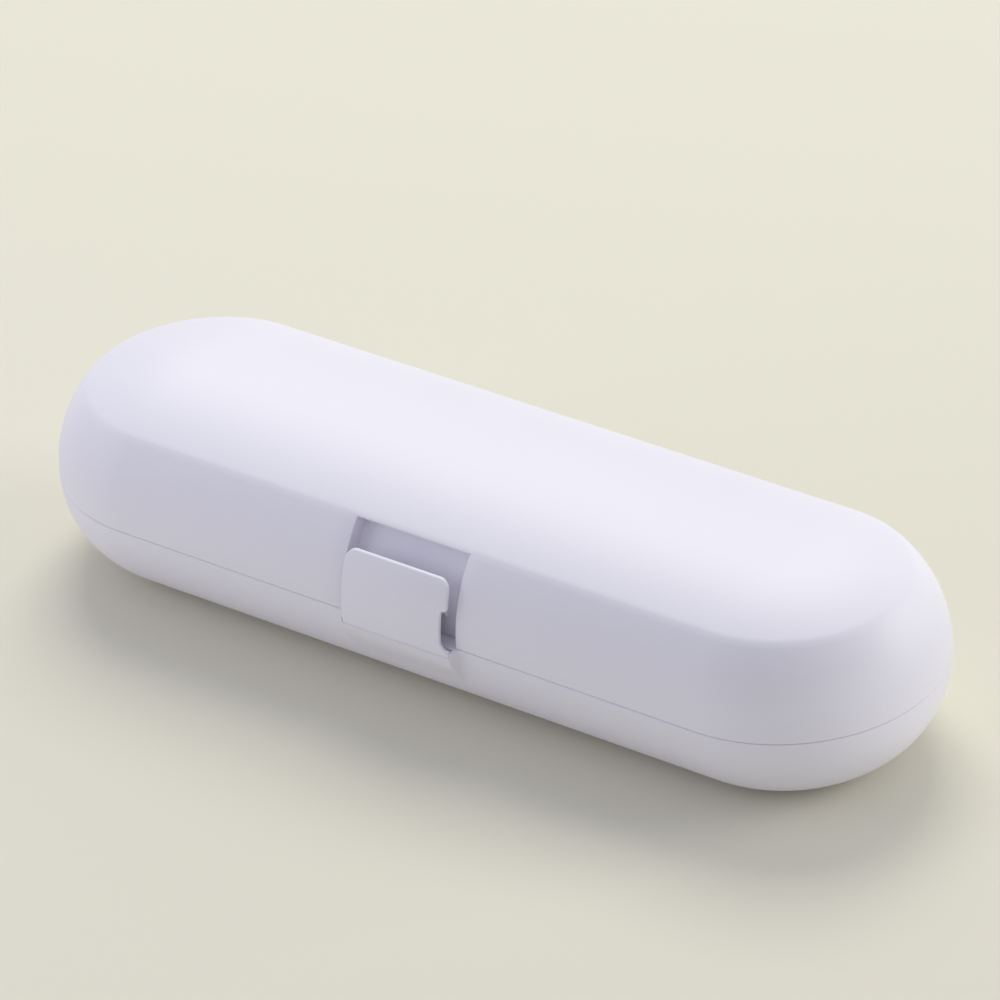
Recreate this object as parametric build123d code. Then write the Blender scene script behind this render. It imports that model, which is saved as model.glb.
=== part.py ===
from build123d import *
from math import acos, atan2, cos, degrees, hypot, radians, sin
import os

# Travel case for an electric toothbrush: two moulded shells joined by a pinned hinge at the back
# and closed by a pull tab at the front, with a moulded tray inside for the handle and two heads.
# Millimetres. +Z is up, the case lies along X, the tab faces -Y. The origin is the middle of the
# flat underside that the case rests on.

# ---- outer shells -----------------------------------------------------------------------------
case_length = 215.0          # over the rounded ends
case_width = 67.8            # over the long sides, without tab and hinge
base_height = 21.5           # underside to parting face; also the radius of the base's round side
lid_height = 24.5            # parting face to the top of the crown
lid_upright = 1.0            # plain upright band above the parting face
lid_side_radius = 27.0       # lean-in of the lid's side
crown_radius = 58.0          # dome of the lid's top, across the case
crown_flat = 3.0             # half width of the flat along the middle of the crown
shoulder_radius = 5.0        # round between the lid's side and its top
wall = 1.8                   # thickness of both shells
parting_gap = 0.12           # fine line between the closed shells
rim_bevel = 0.25             # broken outer edge of both rims

# ---- rim that lines the shells up -------------------------------------------------------------
lip_height = 1.5             # raised lip of the base, inside the lid's rebate
lip_thickness = 0.85
lip_clearance = 0.15         # between the lip and the lid's rebate, sideways and on top

# ---- front latch ------------------------------------------------------------------------------
recess_width = 28.5          # finger recess in the lid
recess_depth = 2.4           # depth of the recess at the parting face
recess_lean = 18.5           # lean of its floor, in degrees
tab_width = 26.1
tab_height = 15.2            # above the parting face
tab_thickness = 1.8
tab_proud = 2.2              # how far the tab stands out from the shells
tab_corner = 2.8
tab_edge_round = 0.45
tab_root_drop = 1.1          # bending line of the tab below the parting face
tab_side_gap = 0.1           # between the tab's root and its notch in the base
root_clearance = 0.05        # between the tab's round root and its seat
tab_travel = 12.0            # how far the tab bends out, in degrees
tab_spare = 2.0              # room in the base beyond that travel, in degrees
relief_width = 1.4           # slot beside the tab's right edge, above its root
relief_height = 8.8
relief_foot = 0.2
relief_round = 0.69          # of the slot's head, inside and out
relief_foot_round = 1.35
catch_height = 5.3           # middle of the lid's catch above the parting face
catch_radius = 0.95
catch_clearance = 0.2        # between the tab's nib and the lid's catch
lead_in = 0.9                # how far the recess floor is cut back at the rim, to pass the nib
lead_rise = 2.2              # height of that lead-in above the parting face
swell_fade = 1.0             # width over which the swell under the tab dies out, each side
swell_angle = 30.0           # how far round the base's side the swell reaches, in degrees
swell_sections = 4           # steps in which it dies out
swell_sink = 0.04            # its last section lies this far inside the base's side
sill_depth = 2.8             # ledge of the base behind the tab
sill_height = 3.0

# ---- hinge ------------------------------------------------------------------------------------
hinge_centre = 42.0          # each hinge's middle, either side of the case's middle
hinge_setback = 2.9          # pin line behind the case's outline
knuckle_radius = 2.6
base_knuckle = 6.0           # length of each of the base's two knuckles
lid_knuckle = 13.4           # length of the lid's middle knuckle
knuckle_gap = 0.3
gusset_angle = 28.0          # how far round the base's side its gusset reaches, in degrees
gusset_rise = 9.0            # how far up the lid its gusset reaches
pin_radius = 1.0
pin_seat_clearance = 0.02
pin_running_clearance = 0.06
pin_inset = 0.3              # pin ends inside the knuckles' faces

# ---- what the case is for ---------------------------------------------------------------------
handle_radius = 14.0         # toothbrush handle
handle_room = 13.0           # from its ends to the case's ends
handle_offset = 10.5         # handle's line behind the case's middle
head_bay_radius = 9.3        # each brush head's bay
head_bay_inner = 14.0        # middle of the bay's inner round end
head_bay_room = 24.0         # from the middle of its outer round end to the case's end
head_bay_setback = 17.1      # from the bays' line to the case's front
head_bay_drop = 1.5          # bays' line below the handle's

# ---- tray -------------------------------------------------------------------------------------
tray_wall = 1.2
tray_drop = 0.4              # deck below the parting face
tray_clearance = 0.3         # round the deck and under the trough
drain_radius = 1.5
drain_count = 6

# ---- posts that carry the tray ----------------------------------------------------------------
post_radius = 2.2
peg_radius = 1.2
peg_clearance = 0.1
peg_head = 0.7               # stake above the deck
peg_head_radius = 1.9
peg_head_taper = 35.0        # in degrees
end_post_room = 11.0         # from the end posts to the case's ends
end_post_offset = -5.0
back_post = (45.0, 29.5)
front_post_setback = 13.9    # from the front post to the case's front

# ---- soft pads --------------------------------------------------------------------------------
pad_thickness = 1.0
pad_play = 0.2               # between pad and handle
pad_seat = 0.05              # between pad and tray
handle_pad_width = 12.0
handle_pad_room = 14.5       # from its middle to where the trough's end rounds off
head_pad_width = 8.0
pad_arc = 150.0              # part of the round that a pad covers, in degrees

# ---- ribs and vents ---------------------------------------------------------------------------
rib_thickness = 1.4
rib_room = 27.5              # from the outer ribs to the case's ends
rib_inner = 30.0             # inner ribs, either side of the case's middle
rib_play = 0.6               # between a rib's arch and the handle
vent_length = 14.0
vent_width = 2.4
vent_count = 6
vent_pitch = 24.0

# ---- worked out from the sizes above ----------------------------------------------------------
half_width = case_width / 2
half_length = case_length / 2
straight = case_length - case_width
top = base_height + lid_height
flat_half = half_width - base_height
base_rim = base_height - parting_gap / 2
lid_rim = base_height + parting_gap / 2
skirt = wall - lip_thickness - lip_clearance
side_centre = (half_width - lid_side_radius, base_height + lid_upright)
crown_centre = (crown_flat, top - crown_radius)
recess_slope = sin(radians(recess_lean)) / cos(radians(recess_lean))
pin_line = (half_width + hinge_setback, base_height)
hinge_length = 2 * base_knuckle + lid_knuckle + 2 * knuckle_gap
deck_top = base_height - tray_drop
deck_under = deck_top - tray_wall
trough_radius = handle_radius + pad_play + pad_thickness + pad_seat
trough_span = case_length - 2 * (handle_room + handle_radius)
handle_axis = wall + tray_clearance + tray_wall + trough_radius
handle_pad_place = trough_span / 2 - handle_pad_room
head_bay_span = half_length - head_bay_room - head_bay_inner
head_bay_place = head_bay_inner + head_bay_span / 2
head_bay_offset = half_width - head_bay_setback
head_bay_axis = handle_axis - head_bay_drop
rib_outer = half_length - rib_room
tab_root = (-(half_width + tab_proud - tab_thickness / 2), base_height - tab_root_drop)


def shoulder():
    """Middle of the shoulder round and the two directions in which it meets side and crown."""
    side_reach = lid_side_radius - shoulder_radius
    crown_reach = crown_radius - shoulder_radius
    aside = side_centre[0] - crown_centre[0]
    up = side_centre[1] - crown_centre[1]
    apart = hypot(aside, up)
    turn = acos((crown_reach ** 2 + apart ** 2 - side_reach ** 2) / (2 * crown_reach * apart))
    heading = atan2(up, aside) - turn
    middle = (crown_centre[0] + crown_reach * cos(heading),
              crown_centre[1] + crown_reach * sin(heading))
    side_angle = degrees(atan2(middle[1] - side_centre[1], middle[0] - side_centre[0]))
    return middle, side_angle, degrees(heading)


def lid_section(inset, bottom):
    """Half section of the lid, `inset` inside its outer face, from the middle outwards."""
    middle, side_angle, crown_angle = shoulder()
    with BuildSketch() as sketch:
        with BuildLine():
            Line((0, bottom), (half_width - inset, bottom))
            Line((half_width - inset, bottom), (half_width - inset, side_centre[1]))
            CenterArc(side_centre, lid_side_radius - inset, 0, side_angle)
            CenterArc(middle, shoulder_radius - inset, side_angle, crown_angle - side_angle)
            CenterArc(crown_centre, crown_radius - inset, crown_angle, 90 - crown_angle)
            Line((crown_flat, top - inset), (0, top - inset))
            Line((0, top - inset), (0, bottom))
        make_face()
    return sketch.sketch


def base_section(inset, rim):
    """Half section of the base, `inset` inside its outer face: a flat and a quarter round."""
    with BuildSketch() as sketch:
        with BuildLine():
            Line((0, inset), (flat_half, inset))
            CenterArc((flat_half, base_height), base_height - inset, -90, 90)
            Line((half_width - inset, base_height), (half_width - inset, rim))
            Line((half_width - inset, rim), (0, rim))
            Line((0, rim), (0, inset))
        make_face()
    return sketch.sketch


def bowl_section(radius, axis_height, rim):
    """Half section of a round-bottomed trough that rises straight from its axis to its rim."""
    with BuildSketch() as sketch:
        with BuildLine():
            CenterArc((0, axis_height), radius, -90, 90)
            Line((radius, axis_height), (radius, rim))
            Line((radius, rim), (0, rim))
            Line((0, rim), (0, axis_height - radius))
        make_face()
    return sketch.sketch


def run_round(section, length):
    """Carry a half section along a straight of `length` and turn it through both round ends."""
    back = Plane((0, 0, 0), x_dir=(0, 1, 0), z_dir=(1, 0, 0))
    front = Plane((0, 0, 0), x_dir=(0, -1, 0), z_dir=(-1, 0, 0))
    halves = [extrude(side * section, amount=length / 2, both=True) for side in (back, front)]
    left = Pos(-length / 2, 0, 0) * revolve(back * section, axis=Axis.Z, revolution_arc=180)
    right = Pos(length / 2, 0, 0) * revolve(front * section, axis=Axis.Z, revolution_arc=180)
    return halves[0].fuse(halves[1], left, right)


def outline(inset, low, high):
    """Upright block with the case's rounded outline, `inset` inside it."""
    face = SlotCenterToCenter(straight, 2 * (half_width - inset))
    return Pos(0, 0, low) * extrude(face, amount=high - low)


def across(points, half):
    """Prism along X, `half` to each side, of a polygon given as (y, z) points."""
    return extrude(Plane.YZ * Polygon(*points, align=None), amount=half, both=True)


def bar(radius, length, y, z, centre=0.0):
    """Round bar along X."""
    return Pos(centre, y, z) * Rot(0, 90, 0) * Cylinder(radius, length)


def block(x_span, y_span, z_span):
    """Box between the given limits."""
    size = (x_span[1] - x_span[0], y_span[1] - y_span[0], z_span[1] - z_span[0])
    return Pos(x_span[0], y_span[0], z_span[0]) * Box(*size, align=(Align.MIN,) * 3)


def rim_ring(inset, low, high):
    """Ring outside the outline at `inset`, used to break a rim's outer edge."""
    return outline(-wall, low, high) - outline(inset, low, high)


def floor_inset(height):
    """How far inside the outline the recess floor lies at a height above the parting face."""
    return recess_depth + recess_slope * height


# ---- hinge knuckles ---------------------------------------------------------------------------
def knuckle_web(wall_points, keep_above):
    """Section of a knuckle: its barrel and the web that joins it to the shell's wall."""
    barrel = Pos(*pin_line) * Circle(knuckle_radius)
    foot = Polyline(*wall_points)
    web = make_hull(barrel.edges() + foot.edges())
    reach = 2 * case_width
    middle = lid_rim + reach / 2 if keep_above else base_rim - reach / 2
    web = web & (Pos(half_width, middle) * Rectangle(reach, reach))
    return barrel + web


def hinge_places():
    """Middles of the two hinges along the case."""
    return (-hinge_centre, hinge_centre)


def base_knuckles():
    """The base's outer knuckles of both hinges."""
    turn = radians(gusset_angle)
    reach = base_height - wall / 2
    foot = [(half_width - wall / 2, base_rim),
            (flat_half + reach * cos(turn), base_height - reach * sin(turn))]
    section = Plane.YZ * knuckle_web(foot, keep_above=False)
    step = (hinge_length - base_knuckle) / 2
    knuckle = extrude(section, amount=base_knuckle / 2, both=True)
    bore = bar(pin_radius + pin_seat_clearance, 2 * base_knuckle, *pin_line)
    knuckle -= bore
    return [Pos(place + side * step, 0, 0) * knuckle for place in hinge_places() for side in (-1, 1)]


def lid_knuckles():
    """The lid's middle knuckle of both hinges."""
    high = lid_rim + gusset_rise
    lean = lid_side_radius - (lid_side_radius ** 2 - (high - side_centre[1]) ** 2) ** 0.5
    foot = [(half_width - skirt / 2, lid_rim), (half_width - lean - skirt / 2, high)]
    section = Plane.YZ * knuckle_web(foot, keep_above=True)
    knuckle = extrude(section, amount=lid_knuckle / 2, both=True)
    knuckle -= bar(pin_radius + pin_running_clearance, 2 * lid_knuckle, *pin_line)
    return [Pos(place, 0, 0) * knuckle for place in hinge_places()]


def hinge_pin(place):
    """Steel pin through one hinge's three knuckles."""
    return bar(pin_radius, hinge_length - 2 * pin_inset, *pin_line, centre=place)


# ---- latch ------------------------------------------------------------------------------------
def swell_section(height):
    """Crescent added to the base's side under the tab, standing out by `height` at the rim."""
    turn = radians(swell_angle)
    buried = base_height - wall / 2
    toe = (flat_half + base_height * cos(turn), base_height - base_height * sin(turn))
    inner_toe = (flat_half + buried * cos(turn), base_height - buried * sin(turn))
    brow = (half_width + height, base_rim)
    with BuildSketch() as sketch:
        with BuildLine():
            Spline(brow, toe, tangents=((0, -1), (-sin(turn), -cos(turn))))
            Line(toe, inner_toe)
            CenterArc((flat_half, base_height), buried, -swell_angle, swell_angle)
            Line((flat_half + buried, base_height), brow)
        make_face()
    return sketch.sketch


def swell():
    """Smooth bulge of the base's front under the tab, dying out to both sides."""
    edge = tab_width / 2 + tab_side_gap
    front = Plane((0, 0, 0), x_dir=(0, -1, 0), z_dir=(-1, 0, 0))
    body = extrude(front * swell_section(tab_proud), amount=edge, both=True)
    for side in (-1, 1):
        sections = []
        for step in range(swell_sections + 1):
            share = step / swell_sections
            height = tab_proud * (1 + cos(radians(180 * share))) / 2 - swell_sink * share
            place = Pos(side * (edge + swell_fade * share), 0, 0)
            sections.append(place * (front * swell_section(height)))
        body += loft(sections)
    return body


def tab_notch():
    """Room that the tab and its round root take out of the base."""
    half = tab_width / 2 + tab_side_gap
    seat = tab_thickness / 2 + root_clearance
    y, z = tab_root
    lip = z - seat * sin(radians(tab_travel + tab_spare))
    room = block((-half, half), (y - 4 * seat, y + seat), (lip, base_height + tab_height))
    below = block((-half, half), (y - seat, y + seat), (z - seat, z))
    return (room - below) + bar(seat, 2 * half, y, z)


def tab_plate():
    """Curved plate of the tab, parallel to the lid's side, down to its bending line."""
    outer = lid_side_radius + tab_proud
    y, z = tab_root
    with BuildSketch() as sketch:
        with Locations((side_centre[0], side_centre[1])):
            Circle(outer)
            Circle(outer - tab_thickness, mode=Mode.SUBTRACT)
        with Locations((half_width, side_centre[1])):
            Rectangle(case_width, 2 * tab_height, align=(Align.CENTER, Align.MIN), mode=Mode.INTERSECT)
        with Locations((-y, (z + side_centre[1]) / 2)):
            Rectangle(tab_thickness, side_centre[1] - z)
    front = Plane((0, 0, 0), x_dir=(0, -1, 0), z_dir=(-1, 0, 0))
    return extrude(front * sketch.sketch, amount=tab_width / 2, both=True)


def tab_face():
    """Outline of the tab seen from the front: round top corners and the relief at its right."""
    half = tab_width / 2
    low, high = tab_root[1] - tab_thickness, base_height + tab_height
    foot = base_height + relief_foot
    head = foot + relief_height
    neck = half - relief_width
    face = Polygon((-half, low), (half, low), (half, foot), (neck, foot), (neck, head),
                   (half, head), (half, high), (-half, high), align=None)
    for corner, radius in (((neck, foot), relief_foot_round), ((neck, head), relief_round),
                           ((half, head), relief_round), ((half, high), tab_corner),
                           ((-half, high), tab_corner)):
        vertex = face.vertices().sort_by_distance((*corner, 0))[0]
        face = fillet(vertex, radius)
    return face


def latch_tab():
    """Pull tab with its round root and the nib that sits over the lid's catch."""
    front = Plane((0, 0, 0), x_dir=(1, 0, 0), z_dir=(0, -1, 0))
    shape = tab_plate() & extrude(front * tab_face(), amount=case_width)
    outside = shape.faces().sort_by(SortBy.AREA)[-2:].sort_by(Axis.Y)[0]
    upright = shape.faces().sort_by(Axis.Y)[0]
    joint = side_centre[1] + tab_edge_round
    rim = [edge for edge in outside.edges() + upright.edges()
           if abs(edge.center().X) > tab_edge_round or edge.center().Z > joint]
    shape = fillet(rim, tab_edge_round)
    root = bar(tab_thickness / 2, tab_width - 2 * tab_edge_round, *tab_root)
    nib_z = base_height + catch_height + 2 * catch_radius + catch_clearance
    catch_nose = -(half_width - floor_inset(catch_height) + catch_radius)
    nib_y = catch_nose - catch_clearance - catch_radius
    half = tab_width / 2 - tab_corner
    nib = bar(catch_radius, 2 * half, nib_y, nib_z)
    stem = block((-half, half), (-(half_width + tab_proud - tab_thickness), nib_y),
                 (nib_z - catch_radius, nib_z + catch_radius))
    return shape + root + nib + stem


def recess_cut():
    """Finger recess in the lid: square sides and a floor that leans in towards the shoulder."""
    half = recess_width / 2
    high = lid_height
    low = -wall
    room = [(-(half_width - floor_inset(0) - lead_in), base_height + low),
            (-(half_width - floor_inset(0) - lead_in), base_height),
            (-(half_width - floor_inset(lead_rise)), base_height + lead_rise),
            (-(half_width - floor_inset(high)), base_height + high),
            (-(half_width + tab_proud), base_height + high),
            (-(half_width + tab_proud), base_height + low)]
    return across(room, half)


def recess_wall():
    """The lid's wall behind the recess, with the catch along it."""
    half = recess_width / 2 + wall
    low = parting_gap / 2
    high = lid_height
    back = wall / cos(radians(recess_lean))
    points = [(-(half_width - floor_inset(low) + wall), base_height + low),
              (-(half_width - floor_inset(high) + wall), base_height + high),
              (-(half_width - floor_inset(high) - back), base_height + high),
              (-(half_width - floor_inset(low) - back), base_height + low)]
    cheek = across([(-half_width, base_height + low),
                    (-half_width, base_height + high),
                    (-(half_width - floor_inset(high) - back), base_height + high),
                    (-(half_width - floor_inset(low) - back), base_height + low)], half)
    return (across(points, half) + cheek) & run_round(lid_section(wall / 4, lid_rim), straight)


def catch():
    """Rounded rib across the recess floor, which the tab's nib snaps over."""
    nose = -(half_width - floor_inset(catch_height))
    half = tab_width / 2 - tab_corner
    z = base_height + catch_height
    root = block((-half, half), (nose, nose + wall), (z - catch_radius, z + catch_radius))
    return bar(catch_radius, 2 * half, nose, z) + root


# ---- shells -----------------------------------------------------------------------------------
def posts():
    """Posts that carry the tray, each with the stake that fixes it."""
    places = [(side * (half_length - end_post_room), end_post_offset) for side in (-1, 1)]
    places += [(side * back_post[0], back_post[1]) for side in (-1, 1)]
    return places + [(0.0, front_post_setback - half_width)]


def post(place):
    """One post from the shell's wall up to the deck, its peg and its domed stake."""
    shaft = Pos(*place, 0) * extrude(Circle(post_radius), amount=deck_under)
    peg = Pos(*place, 0) * extrude(Circle(peg_radius), amount=deck_top + peg_head / 2)
    stake = extrude(Circle(peg_head_radius), amount=peg_head, taper=peg_head_taper)
    head = Pos(*place, deck_top) * stake
    return shaft + peg + head


def vents():
    """Row of air slots through the floor."""
    slot = SlotOverall(vent_length, vent_width)
    first = -(vent_count - 1) / 2
    return [Pos((first + count) * vent_pitch, 0, -wall) * extrude(slot, amount=3 * wall)
            for count in range(vent_count)]


def base_shell():
    """Lower shell: round sides, rim lip, tray posts, vents, hinge knuckles and the tab's seat."""
    shell = run_round(base_section(0, base_height + wall), straight)
    shell += swell()
    shell -= outline(-tab_proud - wall, base_rim, base_height + 2 * wall)
    shell -= rim_ring(rim_bevel, base_rim - rim_bevel, base_rim)
    half = recess_width / 2 + wall + lip_clearance
    lip = outline(wall - lip_thickness, base_height - wall, base_rim + lip_height)
    lip -= block((-half, half), (-case_width, 0), (base_rim, base_height + lid_height))
    shell += lip
    shell -= run_round(base_section(wall, base_height + 2 * wall), straight)
    sill = block((-half, half), (-half_width + wall / 2, -half_width + wall + sill_depth),
                 (base_rim - sill_height, base_rim))
    shell += sill
    shell -= tab_notch()
    within = run_round(base_section(wall / 2, base_height + wall), straight)
    for place in posts():
        shell += post(place) & within
    for knuckle in base_knuckles():
        shell += knuckle
    for vent in vents():
        shell -= vent
    return shell


def lid_shell():
    """Upper shell: leaning sides, crowned top, finger recess with its catch, ribs, knuckles."""
    outer = run_round(lid_section(0, lid_rim), straight)
    cavity = run_round(lid_section(wall, lid_rim - wall), straight)
    shell = outer - cavity
    shell -= rim_ring(rim_bevel, lid_rim, lid_rim + rim_bevel)
    shell -= outline(skirt, lid_rim - wall, base_rim + lip_height + lip_clearance)
    for place in (-rib_outer, -rib_inner, rib_inner, rib_outer):
        shell += lid_rib(place)
    shell += recess_wall()
    shell -= recess_cut()
    shell += catch()
    for knuckle in lid_knuckles():
        shell += knuckle
    return shell


def lid_rib(place):
    """Cross rib in the lid, arched over the handle and over the brush head."""
    slab = block((place - rib_thickness / 2, place + rib_thickness / 2),
                 (-case_width, case_width), (base_rim + lip_height + lip_clearance, top))
    rib = slab & run_round(lid_section(wall / 2, lid_rim), straight)
    for offset, radius, axis in ((handle_offset, handle_radius + rib_play, handle_axis),
                                 (-head_bay_offset, head_bay_radius, head_bay_axis)):
        rib -= bar(radius, 2 * rib_thickness, offset, axis, centre=place)
        rib -= block((place - rib_thickness, place + rib_thickness),
                     (offset - radius, offset + radius), (0, axis))
    return rib


# ---- tray and pads ----------------------------------------------------------------------------
def handle_trough(radius, rim):
    """Round-bottomed, round-ended trough of the handle."""
    return Pos(0, handle_offset, 0) * run_round(bowl_section(radius, handle_axis, rim), trough_span)


def head_bays(radius, rim):
    """The two brush-head bays, one to each side."""
    bay = run_round(bowl_section(radius, head_bay_axis, rim), head_bay_span)
    return [Pos(side * head_bay_place, -head_bay_offset, 0) * bay for side in (-1, 1)]


def tray():
    """Moulded tray: a deck with the handle's trough and two brush-head bays hung in it."""
    deck = outline(wall + tray_clearance, deck_under, deck_top)
    gap = tray_clearance
    half = recess_width / 2 + wall + lip_clearance + gap
    deck -= block((-half, half), (-case_width, -half_width + wall + sill_depth + gap),
                  (0, base_height))
    body = deck + handle_trough(trough_radius + tray_wall, deck_top)
    for bay in head_bays(head_bay_radius + tray_wall, deck_top):
        body += bay
    body -= handle_trough(trough_radius, deck_top + wall)
    for bay in head_bays(head_bay_radius, deck_top + wall):
        body -= bay
    for place in posts():
        body -= Pos(*place, 0) * extrude(Circle(peg_radius + peg_clearance), amount=base_height)
    first = -(drain_count - 1) / 2
    for count in range(drain_count):
        drain = extrude(Circle(drain_radius), amount=handle_axis)
        body -= Pos((first + count) * vent_pitch, handle_offset, 0) * drain
    return body


def cradle_pad(width, inner, x, y, axis):
    """Soft band laid round the bottom of a trough."""
    with BuildSketch() as sketch:
        with BuildLine():
            start = -90 - pad_arc / 2
            outer = CenterArc((0, 0), inner + pad_thickness, start, pad_arc)
            lining = CenterArc((0, 0), inner, start, pad_arc)
            Line(outer @ 0, lining @ 0)
            Line(outer @ 1, lining @ 1)
        make_face()
    return Pos(x, y, axis) * extrude(Plane.YZ * sketch.sketch, amount=width / 2, both=True)


def write(name, body):
    """Write one piece, checking that it is whole."""
    solids = body.solids()
    print(f"{name}: {len(solids)} solid(s), {sum(solid.volume for solid in solids):.0f} mm3")
    export_step(body, f"parts/{name}.step")


os.makedirs("parts", exist_ok=True)
write("base_shell", base_shell())
write("lid_shell", lid_shell())
write("base_tray", tray())
write("latch_tab", latch_tab())
for name, side in (("left", -1), ("right", 1)):
    write(f"hinge_pin_{name}", hinge_pin(side * hinge_centre))
    write(f"handle_pad_{name}", cradle_pad(handle_pad_width, handle_radius + pad_play,
                                           side * handle_pad_place, handle_offset, handle_axis))
    write(f"head_pad_{name}", cradle_pad(head_pad_width, head_bay_radius - pad_thickness - pad_seat,
                                         side * head_bay_place, -head_bay_offset, head_bay_axis))
print(f"pin line {pin_line}, tab root {tab_root}, handle axis {handle_axis:.2f}, deck {deck_top}")
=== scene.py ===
# %% [markdown]
# # A travel case for an electric toothbrush
# The case is two thin moulded shells of satin plastic. They meet at a fine parting line, turn on two
# pinned hinges at the back and close with a pull tab at the front. Inside, a moulded tray has a
# trough for the handle and two bays for brush heads, with soft pads. The hinges, the underside and
# the inside are this model's own design, made as such a case usually has them.
#
# Everything here stands in the same frame as the engineering model: metres, +X along the case,
# +Y towards the hinges and +Z up, with the flat underside on z = 0.

# %% Load the fixed frame
from math import acos, asin, atan2, cos, degrees, hypot, pi, radians, sin
import bmesh
import bpy
from mathutils import Matrix, Vector


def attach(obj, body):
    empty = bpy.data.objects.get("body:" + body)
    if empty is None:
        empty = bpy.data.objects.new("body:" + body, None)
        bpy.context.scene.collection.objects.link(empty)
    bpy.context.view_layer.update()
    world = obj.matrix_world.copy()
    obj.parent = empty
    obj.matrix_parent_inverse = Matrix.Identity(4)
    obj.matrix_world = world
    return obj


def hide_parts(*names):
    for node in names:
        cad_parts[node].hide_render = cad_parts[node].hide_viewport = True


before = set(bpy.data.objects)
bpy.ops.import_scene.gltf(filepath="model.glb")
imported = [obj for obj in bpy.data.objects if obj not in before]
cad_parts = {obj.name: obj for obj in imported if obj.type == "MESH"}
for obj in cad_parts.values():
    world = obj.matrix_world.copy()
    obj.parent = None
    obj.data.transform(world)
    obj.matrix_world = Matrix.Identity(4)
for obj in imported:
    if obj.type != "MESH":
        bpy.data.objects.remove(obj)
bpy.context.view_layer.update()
print("nodes:", ", ".join(sorted(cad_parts)))

# %% [markdown]
# ## Sizes
# The engineering model gives its sizes in millimetres, and Blender works in metres. Keeping the
# model's numbers and multiplying once by `mm` makes every line below easy to check against it.

# %% Sizes of the shells
mm = 0.001
straight = 147.2 * mm          # between the middles of the two round ends
half_width = 33.9 * mm
base_height = 21.5 * mm        # underside to parting face, and radius of the base's round side
top = 46.0 * mm
wall = 1.8 * mm
parting = 0.045 * mm           # each rim's distance from the parting face
rim_bevel = 0.15 * mm
skirt = 0.8 * mm               # thickness of the lid's rim outside the lip
lip_height = 1.5 * mm
lip_thickness = 0.85 * mm
lip_play = 0.15 * mm
flat_half = half_width - base_height
lid_rim = base_height + parting
base_rim = base_height - parting
print(f"case: {(straight + 2 * half_width) / mm:.1f} x {2 * half_width / mm:.1f} x {top / mm:.1f} mm")

# %% [markdown]
# ## Camera
# A long lens flattens the case into the calm view of a catalogue picture. The camera is placed by
# two angles and a distance, then rolled a little about its own line of sight.

# %% Camera
azimuth = radians(37.917)
elevation = radians(32.445)
roll = radians(4.239)
distance = 1447.0 * mm
offset_right, offset_up = 2.021 * mm, 28.808 * mm
sensor_width, focal_length = 36.0, 246.62       # both in millimetres, as Blender wants them

back = Vector((sin(azimuth) * cos(elevation), -cos(azimuth) * cos(elevation), sin(elevation)))
right = Vector((cos(azimuth), sin(azimuth), 0))
up = back.cross(right)
place = distance * back + offset_right * right + offset_up * up
turned_right = cos(roll) * right - sin(roll) * up
turned_up = sin(roll) * right + cos(roll) * up
camera = bpy.data.objects.new("catalogue_camera", bpy.data.cameras.new("catalogue_camera"))
camera.data.sensor_width = sensor_width
camera.data.lens = focal_length
camera.data.clip_start = 0.05
camera.matrix_world = Matrix((
    (turned_right.x, turned_up.x, back.x, place.x),
    (turned_right.y, turned_up.y, back.y, place.y),
    (turned_right.z, turned_up.z, back.z, place.z),
    (0, 0, 0, 1)))
bpy.context.scene.collection.objects.link(camera)
bpy.context.scene.camera = camera
print("camera at", tuple(round(value, 3) for value in place))

# %% [markdown]
# ## Studio
# A white case looks modelled only if its sides are darker than its top. One broad lamp high behind
# the case lights the crown and throws a soft shadow forwards, and a second one behind its right end
# opens that end. A small, close and slightly blue lamp at the front left shades the long front from
# left to right, and an even grey-white world fills the rest.

# %% Floor and light
def lamp(name, direction, reach, size, power, colour):
    """A square area lamp that looks at the case from a direction."""
    light = bpy.data.lights.new(name, "AREA")
    light.shape = "SQUARE"
    light.size = size
    light.energy = power
    light.color = colour
    piece = bpy.data.objects.new(name, light)
    towards = Vector(direction).normalized()
    piece.location = towards * reach
    piece.rotation_euler = towards.to_track_quat("Z", "Y").to_euler()
    bpy.context.scene.collection.objects.link(piece)


lamp("key_lamp", (-0.32, 0.52, 0.80), 1.5, 0.85, 10.8, (1.0, 1.0, 0.905))
lamp("right_lamp", (0.80, 0.60, 0.35), 1.5, 0.85, 7.9, (1.0, 0.995, 0.96))
lamp("left_lamp", (-0.75, -0.55, 0.35), 0.55, 0.3, 0.48, (0.84, 0.835, 1.0))

world = bpy.data.worlds.new("studio")
world.use_nodes = True
bpy.context.scene.world = world
sky = world.node_tree.nodes["Background"]
sky.inputs["Color"].default_value = (0.879, 0.89, 1.0, 1)
sky.inputs["Strength"].default_value = 0.51

floor_radius, floor_drop = 4.0, 0.02 * mm       # the drop keeps the floor clear of the flat underside
floor_mesh = bmesh.new()
bmesh.ops.create_circle(floor_mesh, cap_ends=True, segments=96, radius=floor_radius)
floor_data = bpy.data.meshes.new("floor")
floor_mesh.to_mesh(floor_data)
floor_mesh.free()
floor = bpy.data.objects.new("floor", floor_data)
floor.location.z = -floor_drop
bpy.context.scene.collection.objects.link(floor)
bpy.context.scene.view_settings.view_transform = "Standard"

# %% [markdown]
# ## Paper
# The floor is a plain sheet of warm pale paper. Colours are easiest to choose as screen values from
# 0 to 255, but a shader works in linear light, so one helper turns the first into the second. A high
# roughness keeps the sheet free of gloss.

# %% Material of the floor
def to_linear(red, green, blue):
    """Colour written as 0 to 255 screen values, as the shader wants it."""
    channels = [value / 255 for value in (red, green, blue)]
    return tuple(c / 12.92 if c <= 0.04045 else ((c + 0.055) / 1.055) ** 2.4 for c in channels) + (1,)


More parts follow.
